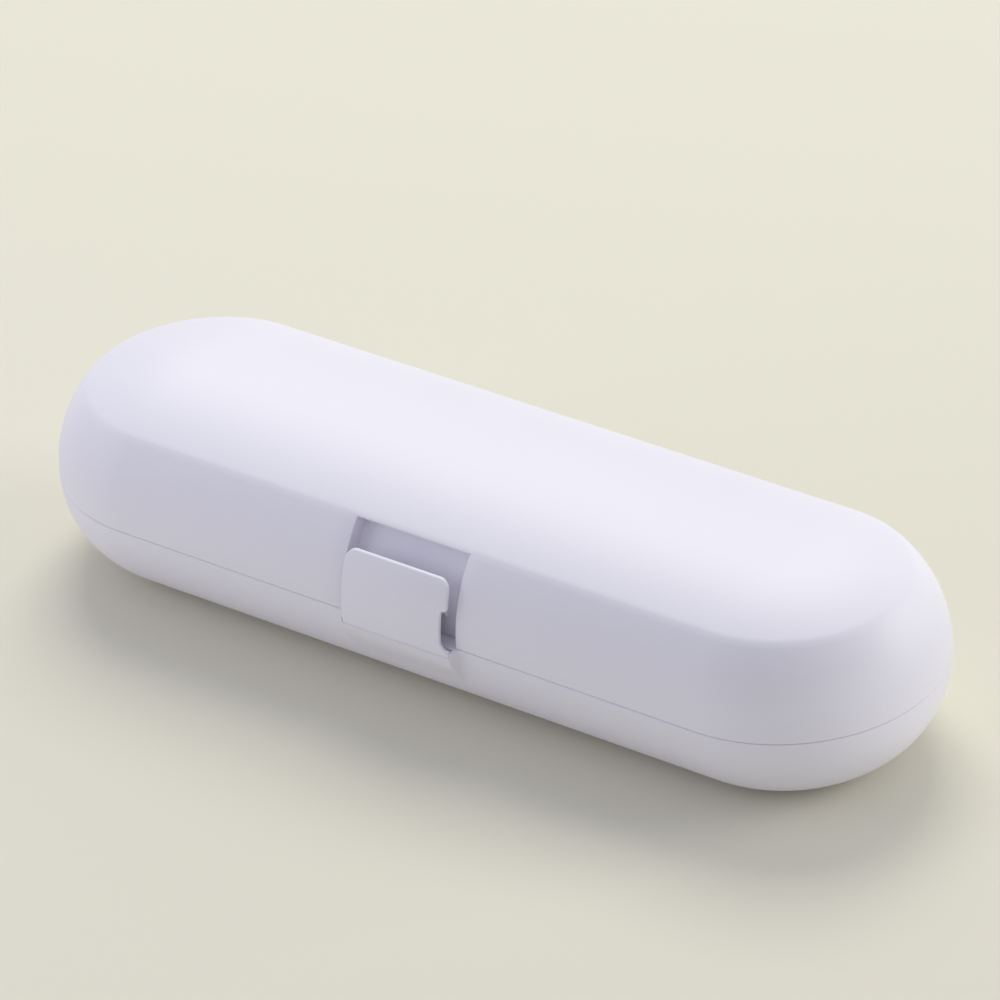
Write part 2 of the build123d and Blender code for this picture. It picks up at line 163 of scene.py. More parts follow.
paper = bpy.data.materials.new("studio_paper")
paper.use_nodes = True
paper_shader = paper.node_tree.nodes["Principled BSDF"]
paper_shader.inputs["Base Color"].default_value = to_linear(229, 226, 209)
paper_shader.inputs["Roughness"].default_value = 0.85
floor_data.materials.append(paper)
print("floor:", paper.name)

# %% [markdown]
# ## Tools for thin moulded shells
# The plan of the case is a long slot: two half circles joined by straights. Any cross-section drawn
# once can be carried all the way round that slot: spin it through one end, extrude it along the
# back, spin it through the other end and extrude it home along the front. The two helpers below do
# only that, so that each shell is just its cross-section.

# %% Drawing a cross-section
class Section:
    """A chain of edges in the upright plane at the case's right end, front side.

    Points are (distance from the case's middle, height).
    """

    def __init__(self, distance, height):
        self.bm = bmesh.new()
        self.last = self.bm.verts.new((straight / 2, -distance, height))

    def line(self, *points):
        for distance, height in points:
            spot = self.bm.verts.new((straight / 2, -distance, height))
            self.bm.edges.new((self.last, spot))
            self.last = spot

    def arc(self, centre, turn, steps):
        """Carry the last point round a centre; a positive turn leads outwards and down."""
        middle = (straight / 2, -centre[0], centre[1])
        made = bmesh.ops.spin(self.bm, geom=[self.last], cent=middle, axis=(1, 0, 0),
                              angle=radians(turn), steps=steps, use_merge=False)
        self.last = [v for v in made["geom_last"] if isinstance(v, bmesh.types.BMVert)][0]


weld = 2e-6                    # points that lie closer together than this become one


def run_round(section, length=straight, end_steps=64, straight_steps=8, shift=(0, 0)):
    """Carry a section through both round ends and along both straights of a slot."""
    bm = section.bm
    bmesh.ops.translate(bm, verts=bm.verts, vec=((length - straight) / 2, 0, 0))
    ring = list(bm.verts) + list(bm.edges)
    for side in (1, -1):
        made = bmesh.ops.spin(bm, geom=ring, cent=(side * length / 2, 0, 0), axis=(0, 0, 1),
                              angle=pi, steps=end_steps, use_merge=False)
        ring = made["geom_last"]
        for _ in range(straight_steps):
            edges = [g for g in ring if isinstance(g, bmesh.types.BMEdge)]
            made = bmesh.ops.extrude_edge_only(bm, edges=edges)
            ring = [g for g in made["geom"] if not isinstance(g, bmesh.types.BMFace)]
            moved = [g for g in ring if isinstance(g, bmesh.types.BMVert)]
            bmesh.ops.translate(bm, verts=moved, vec=(-side * length / straight_steps, 0, 0))
    bmesh.ops.remove_doubles(bm, verts=bm.verts, dist=weld)
    bmesh.ops.translate(bm, verts=bm.verts, vec=(shift[0], shift[1], 0))
    bmesh.ops.recalc_face_normals(bm, faces=bm.faces)
    return bm

# %% Joining and cutting
def as_object(name, bm):
    """Turn a bmesh into an object that sits at the origin."""
    data = bpy.data.meshes.new(name)
    bm.to_mesh(data)
    bm.free()
    piece = bpy.data.objects.new(name, data)
    bpy.context.scene.collection.objects.link(piece)
    return piece


def carve(piece, tool_bm, operation="DIFFERENCE"):
    """Cut a tool out of a piece, or join it on, and apply the result."""
    tool = as_object("carving_tool", tool_bm)
    modifier = piece.modifiers.new("carve", "BOOLEAN")
    modifier.operation = operation
    modifier.solver = "EXACT"
    modifier.object = tool
    shaped = piece.evaluated_get(bpy.context.evaluated_depsgraph_get())
    data = bpy.data.meshes.new_from_object(shaped)
    piece.modifiers.clear()
    old = piece.data
    piece.data = data
    bpy.data.meshes.remove(old)
    bpy.data.objects.remove(tool)


def prism(outline, half, centre=0.0):
    """A bar along X whose section is a polygon of (distance in front of the middle, height)."""
    bm = bmesh.new()
    spots = [bm.verts.new((centre - half, -distance, height)) for distance, height in outline]
    face = bm.faces.new(spots)
    made = bmesh.ops.extrude_face_region(bm, geom=[face])
    moved = [v for v in made["geom"] if isinstance(v, bmesh.types.BMVert)]
    bmesh.ops.translate(bm, verts=moved, vec=(2 * half, 0, 0))
    bmesh.ops.recalc_face_normals(bm, faces=bm.faces)
    return bm


def smooth(piece, limit=28):
    """Shade smoothly, but keep edges sharper than the limit crisp."""
    bm = bmesh.new()
    bm.from_mesh(piece.data)
    for face in bm.faces:
        face.smooth = True
    for edge in bm.edges:
        edge.smooth = len(edge.link_faces) == 2 and edge.calc_face_angle(0) < radians(limit)
    bm.to_mesh(piece.data)
    bm.free()
    print(f"{piece.name}: {len(piece.data.polygons)} faces")

# %% [markdown]
# ## Satin plastic
# Moulded polypropylene isn't a flat white. It has a faint lavender tint, a fine spark-eroded grain
# that softens its gloss, a slow drift of gloss from the mould, and edges painted a little lighter,
# partly for polish from handling and partly as a painted highlight. Each of these is one small group of
# nodes.

# %% Drifting tint, lighter edges with a painted highlight, and grain
def shade_of(colour, factor):
    """A colour made a little darker or lighter, and never brighter than white."""
    return tuple(min(1, c * factor) for c in colour[:3]) + (1,)


def drifting_tint(nodes, links, place, colour):
    """A slow noise, and a tint that drifts with it round the plastic's colour."""
    drift = nodes.new("ShaderNodeTexNoise")
    drift.inputs["Scale"].default_value = 28.0
    drift.inputs["Detail"].default_value = 3.0
    links.new(place.outputs["Object"], drift.inputs["Vector"])
    tint = nodes.new("ShaderNodeMix")
    tint.data_type = "RGBA"
    tint.inputs["A"].default_value = shade_of(colour, 0.985)
    tint.inputs["B"].default_value = shade_of(colour, 1.012)
    links.new(drift.outputs["Fac"], tint.inputs["Factor"])
    return drift, tint


def rubbed_and_highlit_edges(nodes, links, tint, colour):
    """A normal that rounds sharp edges, and a colour that is lighter where it leaves the face, partly as
    polish from handling and partly as a painted highlight.
    """
    rounded = nodes.new("ShaderNodeBevel")
    rounded.samples = 6
    rounded.inputs["Radius"].default_value = 0.1 * mm
    plain = nodes.new("ShaderNodeNewGeometry")
    facing = nodes.new("ShaderNodeVectorMath")
    facing.operation = "DOT_PRODUCT"
    links.new(rounded.outputs["Normal"], facing.inputs[0])
    links.new(plain.outputs["Normal"], facing.inputs[1])
    # Share of the painted edge lightening: partly polish from handling, partly a painted highlight along
    # sharp edges.
    rub_and_highlight_share = nodes.new("ShaderNodeMapRange")
    rub_and_highlight_share.inputs["From Min"].default_value = 0.995
    rub_and_highlight_share.inputs["From Max"].default_value = 0.80
    links.new(facing.outputs["Value"], rub_and_highlight_share.inputs["Value"])
    # Edge colour 5 % lighter than the face: partly polish from handling, partly a painted highlight.
    rubbed_and_highlit = nodes.new("ShaderNodeMix")
    rubbed_and_highlit.data_type = "RGBA"
    rubbed_and_highlit.inputs["B"].default_value = shade_of(colour, 1.05)
    links.new(rub_and_highlight_share.outputs["Result"], rubbed_and_highlit.inputs["Factor"])
    links.new(tint.outputs["Result"], rubbed_and_highlit.inputs["A"])
    return rounded, rubbed_and_highlit


def spark_grain(nodes, links, place, rounded, grain):
    """The fine grain of a spark-eroded mould, laid over the rounded normal."""
    spark = nodes.new("ShaderNodeTexNoise")
    spark.inputs["Scale"].default_value = 2600.0
    spark.inputs["Detail"].default_value = 2.0
    links.new(place.outputs["Object"], spark.inputs["Vector"])
    bump = nodes.new("ShaderNodeBump")
    bump.inputs["Strength"].default_value = 0.35 * grain
    bump.inputs["Distance"].default_value = 0.03 * mm
    links.new(spark.outputs["Fac"], bump.inputs["Height"])
    links.new(rounded.outputs["Normal"], bump.inputs["Normal"])
    return bump

# %% Plastics of the shells, the tray and the pads
def moulded(name, colour, roughness, grain=1.0):
    """Satin moulded plastic with fine grain, drifting gloss and edges painted a little lighter, partly as
    polish from handling and partly as a painted highlight.
    """
    material = bpy.data.materials.new(name)
    material.use_nodes = True
    nodes, links = material.node_tree.nodes, material.node_tree.links
    shader = nodes["Principled BSDF"]
    place = nodes.new("ShaderNodeTexCoord")
    drift, tint = drifting_tint(nodes, links, place, colour)
    rounded, rubbed_and_highlit = rubbed_and_highlit_edges(nodes, links, tint, colour)
    links.new(rubbed_and_highlit.outputs["Result"], shader.inputs["Base Color"])

    gloss = nodes.new("ShaderNodeMapRange")
    gloss.inputs["To Min"].default_value = roughness - 0.04
    gloss.inputs["To Max"].default_value = roughness + 0.05
    links.new(drift.outputs["Fac"], gloss.inputs["Value"])
    links.new(gloss.outputs["Result"], shader.inputs["Roughness"])

    bump = spark_grain(nodes, links, place, rounded, grain)
    links.new(bump.outputs["Normal"], shader.inputs["Normal"])
    shader.inputs["IOR"].default_value = 1.49
    return material


shell_plastic = moulded("shell_plastic", to_linear(238, 236, 246), 0.45)
tray_plastic = moulded("tray_plastic", to_linear(226, 225, 232), 0.5)
soft_silicone = moulded("soft_silicone", to_linear(172, 172, 184), 0.75, grain=1.6)
print("plastics:", ", ".join(made.name for made in (shell_plastic, tray_plastic, soft_silicone)))

# %% Dressing a piece
def dress(piece, material, body, slot, *nodes):
    """Give a piece its finish and its body, and hide the engineering parts it stands for."""
    piece.data.materials.clear()
    piece.data.materials.append(material)
    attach(piece, body)
    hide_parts(*nodes)

# %% [markdown]
# ## The lid
# The lid's side leans in on a large radius, turns over a 5 mm shoulder and runs into a crown that is
# almost flat. Both faces of the wall belong to one cross-section, so the shell has its true
# thickness from the start, with the rebate for the base's lip cut into its rim.

# %% Section of the lid
side_radius = 27.0 * mm
side_centre = (half_width - side_radius, base_height + 1.0 * mm)
crown_centre = (3.0 * mm, top - 58.0 * mm)
crown_radius = 58.0 * mm
shoulder_radius = 5.0 * mm

apart_across = side_centre[0] - crown_centre[0]
apart_up = side_centre[1] - crown_centre[1]
apart = hypot(apart_across, apart_up)
near, far = side_radius - shoulder_radius, crown_radius - shoulder_radius
turn = acos((far ** 2 + apart ** 2 - near ** 2) / (2 * far * apart))
heading = atan2(apart_up, apart_across) - turn
shoulder = (crown_centre[0] + far * cos(heading), crown_centre[1] + far * sin(heading))
side_angle = degrees(atan2(shoulder[1] - side_centre[1], shoulder[0] - side_centre[0]))
crown_angle = degrees(heading)
print(f"side turns in {side_angle:.1f} degrees, shoulder to {crown_angle:.1f} degrees")

# %% Section of the lid's shell
crest_angle = 50.0             # where the finger recess ends on the shoulder
crest_room = 5.5               # left plain on both sides of it, so that the crest can be rounded
lid_line = Section(0, top)
lid_line.line((crown_centre[0], top))
lid_line.arc(crown_centre, 90 - crown_angle, 14)
lid_line.arc(shoulder, crown_angle - crest_angle - crest_room, 4)
lid_line.arc(shoulder, 2 * crest_room, 1)
lid_line.arc(shoulder, crest_angle - crest_room - side_angle, 1)
lid_line.arc(side_centre, side_angle, 18)
rebate_top = base_rim + lip_height + lip_play
inner_start = degrees(asin((rebate_top - side_centre[1]) / (side_radius - wall)))
inner_lean = (side_radius - wall) * (1 - cos(radians(inner_start)))
lid_line.line((half_width, lid_rim + rim_bevel),
              (half_width - rim_bevel, lid_rim),
              (half_width - skirt, lid_rim),
              (half_width - skirt, rebate_top),
              (half_width - wall - inner_lean, rebate_top))
lid_line.arc(side_centre, inner_start - side_angle, 16)
lid_line.arc(shoulder, side_angle - crown_angle, 8)
lid_line.arc(crown_centre, crown_angle - 90, 12)
lid_line.line((0, top - wall))
print("lid section:", len(lid_line.bm.verts), "points")

# %% The lid's shell
lid_skin = as_object("lid_skin", run_round(lid_line))
print("lid shell faces:", len(lid_skin.data.polygons))

# %% [markdown]
# ## The finger recess
# Behind the tab the lid steps back, so that a fingertip can reach in and pull. The floor of the
# recess runs parallel to the lid's side, and a short ceiling under the shoulder closes it at the top.
# The wall behind the floor is joined on first, then the recess is cut through both and its brow is
# rounded. The catch, a rounded bar, is laid across the floor last.

# %% Rounding edges that are already joined
def round_edges(piece, radius, segments, chosen, limit=30):
    """Round the sharp edges of a piece whose middle passes a test."""
    bm = bmesh.new()
    bm.from_mesh(piece.data)
    bmesh.ops.remove_doubles(bm, verts=bm.verts, dist=0.004 * mm)
    edges = [edge for edge in bm.edges
             if len(edge.link_faces) == 2 and edge.calc_face_angle(0) > radians(limit)
             and chosen((edge.verts[0].co + edge.verts[1].co) / 2)]
    bmesh.ops.bevel(bm, geom=edges, offset=radius, offset_type="OFFSET", segments=segments,
                    profile=0.5, affect="EDGES", material=-1, clamp_overlap=True)
    bm.to_mesh(piece.data)
    bm.free()
    print(f"{piece.name}: {len(edges)} edges rounded to {radius / mm:.2f} mm")


def filled_lid(inset):
    """The lid as a solid, a little inside its outer face, to trim what is built inside it."""
    line = Section(0, lid_rim)
    line.line((half_width - inset, lid_rim), (half_width - inset, side_centre[1]))
    line.arc(side_centre, -side_angle, 18)
    line.arc(shoulder, side_angle - crown_angle, 12)
    line.arc(crown_centre, crown_angle - 90, 14)
    line.line((0, top - inset))
    return run_round(line)


# %% Outline of the recess
recess_half, recess_middle = 14.35 * mm, 0.3 * mm
recess_depth = 3.4 * mm
ceiling_lean = radians(35)
backing_inset = 0.45 * mm      # keeps the wall behind the floor inside the lid's outer face
backing_end, floor_end = 60, 43                 # degrees up the lid's side
ceiling_in, ceiling_out = -3.3 * mm, 4 * mm     # from the crest
beyond = 3 * mm                # how far a cutter reaches past the plastic
brow_radius, brow_depth = 0.35 * mm, 0.3 * mm
near_enough = 0.02 * mm
crest = (shoulder[0] + shoulder_radius * cos(radians(crest_angle)),
         shoulder[1] + shoulder_radius * sin(radians(crest_angle)))


def beside_floor(offset, low, high, steps=16):
    """Points of a curve parallel to the lid's side, from one angle up to another."""
    radius = side_radius - offset
    angles = [radians(low + (high - low) * step / steps) for step in range(steps + 1)]
    return [(side_centre[0] + radius * cos(a), side_centre[1] + radius * sin(a)) for a in angles]


def along_ceiling(reach):
    """A point on the recess's ceiling, measured outwards from the crest."""
    return crest[0] + reach * cos(ceiling_lean), crest[1] + reach * sin(ceiling_lean)


print(f"recess: {2 * recess_half / mm:.1f} mm wide, crest {crest[1] / mm:.1f} mm up")

# %% Cut the recess and round its brow
backing_line = beside_floor(recess_depth + wall, 0, backing_end)
backing = as_object("backing", prism([(backing_line[0][0], lid_rim)] + backing_line
                                     + [(half_width, top), (half_width, lid_rim)],
                                     recess_half + wall, recess_middle))
carve(backing, filled_lid(backing_inset), "INTERSECT")
joining = bmesh.new()
joining.from_mesh(backing.data)
bpy.data.objects.remove(backing)
carve(lid_skin, joining, "UNION")
floor_line = beside_floor(recess_depth, 0, floor_end)
ceiling_line = [along_ceiling(ceiling_in), along_ceiling(ceiling_out)]
carve(lid_skin, prism([(floor_line[0][0], base_height - beyond)] + floor_line + ceiling_line
                      + [(half_width + beyond, top), (half_width + beyond, base_height - beyond)],
                      recess_half, recess_middle))


def on_brow(spot):
    """True along the recess's two sides and its crest, on the lid's outer face."""
    outside = hypot(-spot.y - side_centre[0], spot.z - side_centre[1]) > side_radius - brow_depth
    return (outside and spot.y < 0 and spot.z > lid_rim + near_enough
            and abs(spot.x - recess_middle) < recess_half + near_enough)


round_edges(lid_skin, brow_radius, 3, on_brow, limit=12)
smooth(lid_skin)
dress(lid_skin, shell_plastic, "lid", "shell_plastic", "lid_shell")

# %% The catch
def round_bar(radius, half, distance, height, centre=0.0, soft_end=0.25 * mm, segments=32):
    """A round bar along X with softened ends."""
    bm = bmesh.new()
    bmesh.ops.create_cone(bm, cap_ends=True, segments=segments, radius1=radius, radius2=radius,
                          depth=2 * half)
    if soft_end:
        ends = [e for e in bm.edges if abs(e.verts[0].co.z - e.verts[1].co.z) < half]
        bmesh.ops.bevel(bm, geom=ends, offset=soft_end, offset_type="OFFSET", segments=3, profile=0.5,
                        affect="EDGES", material=-1, clamp_overlap=True)
    bmesh.ops.rotate(bm, verts=bm.verts, matrix=Matrix.Rotation(pi / 2, 3, "Y"))
    bmesh.ops.translate(bm, verts=bm.verts, vec=(centre, -distance, height))
    bmesh.ops.recalc_face_normals(bm, faces=bm.faces)
    return bm


catch_radius, catch_half = 0.95 * mm, 10.25 * mm
catch_distance, catch_height = 29.727 * mm, 26.8 * mm
lid_catch = as_object("lid_catch", round_bar(catch_radius, catch_half, catch_distance, catch_height))
smooth(lid_catch)
dress(lid_catch, shell_plastic, "lid", "shell_plastic")

# %% [markdown]
# ## Ribs in the lid
# Four thin ribs stiffen the crown and arch over the handle and the brush heads. Four flat slabs are
# trimmed by the filled lid and then cut by two long round bars, one for each thing that they clear.

# %% Ribs
handle_offset, handle_axis = 10.5 * mm, 18.55 * mm
head_offset, head_axis, head_radius = 16.8 * mm, 17.05 * mm, 9.3 * mm
handle_room = 14.6 * mm        # radius that the ribs leave free round the handle
rib_half, rib_inset, rib_soft = 0.7 * mm, 0.9 * mm, 0.15 * mm
rib_places = (-80, -30, 30, 80)                 # millimetres along the case
slab_reach, room_half = 70 * mm, 90 * mm

ribs_bm = bmesh.new()
for place in rib_places:
    made = bmesh.ops.create_cube(ribs_bm, size=1.0)["verts"]
    bmesh.ops.scale(ribs_bm, verts=made, vec=(2 * rib_half, slab_reach, top - rebate_top))
    bmesh.ops.translate(ribs_bm, verts=made, vec=(place * mm, 0, (top + rebate_top) / 2))
lid_ribs = as_object("lid_ribs", ribs_bm)
carve(lid_ribs, filled_lid(rib_inset), "INTERSECT")
for distance, height, radius in ((-handle_offset, handle_axis, handle_room),
                                 (head_offset, head_axis, head_radius)):
    carve(lid_ribs, round_bar(radius, room_half, distance, height, segments=128))
round_edges(lid_ribs, rib_soft, 2, lambda spot: True)
smooth(lid_ribs)
dress(lid_ribs, shell_plastic, "lid", "shell_plastic")

# %% [markdown]
# ## Hinges
# Each hinge is three knuckles on one steel pin. A knuckle is a barrel, with a web that runs from the
# barrel to the shell like a stretched tent: the convex hull of the barrel and two lines on the
# shell. Half of the web is cut away at the parting face, so that each shell keeps its own side.

# %% One knuckle
pin_distance, pin_height = 36.8 * mm, base_height
knuckle_radius = 2.6 * mm
knuckle_step = 0.05 * mm       # how far the web stays inside its barrel
knuckle_soft = 0.2 * mm
hinge_centre = 42.0 * mm


def knuckle(centre, half, feet, keep_up, bore):
    """One knuckle: a barrel, its web down or up to the shell, and the pin's bore."""
    web = bmesh.new()
    web_half = half - knuckle_step
    for side in (-1, 1):
        ring = bmesh.ops.create_circle(web, segments=64, radius=knuckle_radius - knuckle_step)["verts"]
        bmesh.ops.rotate(web, verts=ring, matrix=Matrix.Rotation(pi / 2, 3, "Y"))
        bmesh.ops.translate(web, verts=ring, vec=(side * web_half, pin_distance, pin_height))
        for distance, height in feet:
            web.verts.new((side * web_half, distance, height))
    hull = bmesh.ops.convex_hull(web, input=web.verts)
    inside = [g for g in hull["geom_interior"] if isinstance(g, bmesh.types.BMVert)]
    bmesh.ops.delete(web, geom=inside, context="VERTS")
    bmesh.ops.bisect_plane(web, geom=list(web.verts) + list(web.edges) + list(web.faces),
                           plane_co=(0, 0, lid_rim if keep_up else base_rim), plane_no=(0, 0, 1),
                           clear_inner=keep_up, clear_outer=not keep_up)
    bmesh.ops.contextual_create(web, geom=[e for e in web.edges if e.is_boundary])
    bmesh.ops.dissolve_limit(web, angle_limit=radians(0.5), verts=web.verts, edges=web.edges)
    bmesh.ops.recalc_face_normals(web, faces=web.faces)
    ends = [e for e in web.edges if abs(e.verts[0].co.x + e.verts[1].co.x) > web_half]
    bmesh.ops.bevel(web, geom=ends, offset=knuckle_soft, offset_type="OFFSET", segments=2, profile=0.5,
                    affect="EDGES", material=-1, clamp_overlap=True)
    piece = as_object("knuckle", web)
    carve(piece, round_bar(knuckle_radius, half, -pin_distance, pin_height, segments=64), "UNION")
    carve(piece, round_bar(bore, 2 * half, -pin_distance, pin_height, segments=48))
    for vertex in piece.data.vertices:
        vertex.co.x += centre
    return piece


def join(name, pieces):
    """Gather several small pieces into one object."""
    bm = bmesh.new()
    for piece in pieces:
        bm.from_mesh(piece.data)
        bpy.data.objects.remove(piece)
    return as_object(name, bm)

# %% Knuckles of the lid and the base
lid_bore, base_bore = 1.06 * mm, 1.02 * mm
middle_half, outer_half, outer_offset = 6.7 * mm, 3.0 * mm, 10.0 * mm
gusset = 9.0 * mm              # height of the web on the lid's side
gusset_lean = side_radius - (side_radius ** 2 - (lid_rim + gusset - side_centre[1]) ** 2) ** 0.5
lid_feet = [(half_width - skirt / 2, base_height), (half_width - gusset_lean - skirt / 2, lid_rim + gusset)]
lid_knuckles = join("lid_knuckles", [knuckle(side * hinge_centre, middle_half, lid_feet, True, lid_bore)
                                     for side in (-1, 1)])
smooth(lid_knuckles)
dress(lid_knuckles, shell_plastic, "lid", "shell_plastic")

reach, foot_angle = base_height - wall / 2, radians(28)
base_feet = [(half_width - wall / 2, base_height),
             (flat_half + reach * cos(foot_angle), base_height - reach * sin(foot_angle))]
outer_places = [side * hinge_centre + end * outer_offset for side in (-1, 1) for end in (-1, 1)]
base_knuckles = join("base_knuckles", [knuckle(place, outer_half, base_feet, False, base_bore)
                                       for place in outer_places])
smooth(base_knuckles)
dress(base_knuckles, shell_plastic, "base", "shell_plastic")

# %% [markdown]
# ## The base
# The base's side is one quarter round with a 21.5 mm radius, from the flat underside up to the
# parting face. Its wall, rim and lining-up lip are one cross-section again.

# %% Section of the base
start = degrees(asin((base_height - (base_rim - rim_bevel)) / base_height))
lip_face = half_width - wall + lip_thickness
lip_top = base_rim + lip_height
lip_soft = 0.15 * mm
base_line = Section(0, 0)
base_line.line((flat_half, 0))
base_line.arc((flat_half, base_height), start - 90, 36)
base_line.line((half_width - rim_bevel, base_rim), (lip_face, base_rim),
               (lip_face, lip_top - lip_soft), (lip_face - lip_soft, lip_top),
               (half_width - wall + lip_soft, lip_top), (half_width - wall, lip_top - lip_soft),
               (half_width - wall, base_height))
base_line.arc((flat_half, base_height), 90, 24)
base_line.line((0, wall))
base_bm = run_round(base_line)
print("base shell faces:", len(base_bm.faces))

# %% [markdown]
# ## The swell under the tab
# The tab stands 2.2 mm proud of the lid, and the base swells out to meet it, so that no step shows
# below the tab. Each point of the outer skin near the tab is pushed straight out from the round's
# centre, by an amount that fades smoothly downwards and to both sides.

# %% Swell
tab_half = 13.05 * mm
tab_proud = 2.2 * mm
tab_gap = 0.04 * mm
foot_half = {-1: tab_half, 1: 14.2 * mm}        # the tab's foot is wider at its right
swell_fade = 1.0 * mm
swell_angle = radians(30)
swell_cuts = 6
skin_slack = 0.05 * mm         # a point this near the outer face counts as on it
cut_touch = 1e-7               # a cut makes no new point this close to an old one


def fade(share):
    """1 at a share of 0, 0 from a share of 1, and level at both ends."""
    share = min(max(share, 0), 1)
    return (1 + cos(pi * share)) / 2


def swell_share(angle):
    """How much of the swell is left at an angle round the base's side."""
    return fade(angle / swell_angle)


for cut in range(swell_cuts + 1):
    for side in (-1, 1):
        spot = side * (foot_half[side] + tab_gap + swell_fade * cut / swell_cuts)
        everything = list(base_bm.verts) + list(base_bm.edges) + list(base_bm.faces)
        bmesh.ops.bisect_plane(base_bm, geom=everything, plane_co=(spot, 0, 0), plane_no=(1, 0, 0),
                               dist=cut_touch)
raised = 0
for vertex in base_bm.verts:
    distance, height = -vertex.co.y - flat_half, base_height - vertex.co.z
    outside = hypot(distance, height) > base_height - rim_bevel - skin_slack
    if vertex.co.y < 0 and outside and height > skin_slack:
        angle = atan2(height, distance)
        beside = abs(vertex.co.x) - foot_half[1 if vertex.co.x > 0 else -1] - tab_gap
        amount = tab_proud * fade(beside / swell_fade) * swell_share(angle)
        vertex.co.y -= amount * cos(angle)
        vertex.co.z -= amount * sin(angle)
        raised += amount > 0
base_skin = as_object("base_skin", base_bm)
print("points raised for the swell:", raised)

# %% [markdown]
# ## The tab's seat, the sill and the vents
# The root of the tab turns in a hollow along the base's front edge. Behind it a plain sill takes the
# place of the lip, to make room for the recess, and six slots in the underside let the case dry.
# Each is one more cut or join: the hollow is a bar with a round bottom, the sill is a plain bar, and
# a vent is a small section carried round its own slot, which gives it a chamfered mouth.

# %% Seat and sill
root_distance, root_height = 35.2 * mm, 20.4 * mm
seat = 0.836 * mm              # radius of the hollow that the tab's root turns in
seat_turn, seat_steps = 166, 30
foot_middle = (foot_half[1] - foot_half[-1]) / 2
foot_reach = (foot_half[1] + foot_half[-1]) / 2
sill_half = recess_half + wall + lip_play
sill_face, sill_back = half_width - wall / 2, half_width - wall - 2.8 * mm
sill_foot = base_rim - 3 * mm
no_lip = half_width - 5 * mm                    # the lip is left out above the sill
carve(base_skin, prism([(sill_face, sill_foot), (sill_face, base_rim),
                        (sill_back, base_rim), (sill_back, sill_foot)], sill_half), "UNION")
carve(base_skin, prism([(no_lip, base_rim), (half_width, base_rim),
                        (half_width, base_rim + beyond), (no_lip, base_rim + beyond)], sill_half))
seat_arc = [radians(180 + seat_turn * step / seat_steps) for step in range(seat_steps + 1)]
seat_line = [(root_distance + seat * cos(a), root_height + seat * sin(a)) for a in seat_arc]
seat_mouth = root_distance + 4 * seat           # well outside the plastic
seat_line += [(seat_mouth, seat_line[-1][1]), (seat_mouth, root_height + beyond),
              (root_distance - seat, root_height + beyond)]
carve(base_skin, prism(seat_line, foot_reach + tab_gap, foot_middle))
print("base with its seat and sill:", len(base_skin.data.polygons), "faces")

# %% Vents
vent_half, vent_soft, vent_top = 1.2 * mm, 0.25 * mm, wall + 1 * mm
vent_length, vent_pitch, vent_count = 11.6 * mm, 24 * mm, 6
vent_places = [(count - (vent_count - 1) / 2) * vent_pitch for count in range(vent_count)]
for place in vent_places:
    vent_line = Section(0, -vent_soft)
    vent_line.line((vent_half + 2 * vent_soft, -vent_soft), (vent_half, vent_soft),
                   (vent_half, vent_top), (0, vent_top))
    carve(base_skin, run_round(vent_line, vent_length, end_steps=16, straight_steps=2,
                               shift=(place, 0)))
smooth(base_skin)
dress(base_skin, shell_plastic, "base", "shell_plastic", "base_shell")

# %% [markdown]
# ## The pull tab
# The tab is a curved plate that follows the lid's side. It is easiest to make flat: draw its outline,
# round the corners, cut it into rows, give it thickness and soft edges, and only then bend the rows
# onto the curve. A narrow slot is left open beside its right edge. A round root along its foot and a
# rounded nib on its back, above the lid's catch, are joined on last.

# %% Flat plate of the tab
tab_top = base_height + 15.2 * mm
tab_thickness = 0.85 * mm
tab_soft = 0.26 * mm
relief_edge, relief_foot, relief_head = 12.15 * mm, 21.6 * mm, 30.5 * mm
cheek = 13.65 * mm                              # the tab's right edge where the slot begins
corners = [(-tab_half, root_height), (foot_half[1], root_height), (foot_half[1], relief_foot),
           (relief_edge, relief_foot), (relief_edge, relief_head), (cheek, relief_head),
           (tab_half, tab_top), (-tab_half, tab_top)]
radii = {6: 2.4 * mm, 7: 2.4 * mm, 3: 1.9 * mm, 4: 0.74 * mm, 5: 0.74 * mm}

plate = bmesh.new()
spots = [plate.verts.new((x, 0, z)) for x, z in corners]
plate.faces.new(spots)
for number, radius in radii.items():
    bmesh.ops.bevel(plate, geom=[spots[number]], offset=radius, offset_type="OFFSET", segments=8,
                    profile=0.5, affect="VERTICES", material=-1, clamp_overlap=True)
rows = 32
for row in range(1, rows):
    everything = list(plate.verts) + list(plate.edges) + list(plate.faces)
    bmesh.ops.bisect_plane(plate, geom=everything, plane_no=(0, 0, 1), dist=cut_touch,
                           plane_co=(0, 0, root_height + (tab_top - root_height) * row / rows))
made = bmesh.ops.extrude_face_region(plate, geom=list(plate.faces))
bmesh.ops.translate(plate, verts=[v for v in made["geom"] if isinstance(v, bmesh.types.BMVert)],
                    vec=(0, tab_thickness, 0))
bmesh.ops.recalc_face_normals(plate, faces=plate.faces)
outline = [e for e in plate.edges if e.calc_face_angle(0) > radians(60)
           and abs(e.verts[0].co.y - e.verts[1].co.y) < 1e-6
           and max(v.co.z for v in e.verts) > root_height + 0.01 * mm]
bmesh.ops.bevel(plate, geom=outline, offset=tab_soft, offset_type="OFFSET", segments=4, profile=0.5,
                affect="EDGES", material=-1, clamp_overlap=False)
print("tab plate:", len(plate.faces), "faces,", len(outline), "outline edges rounded")

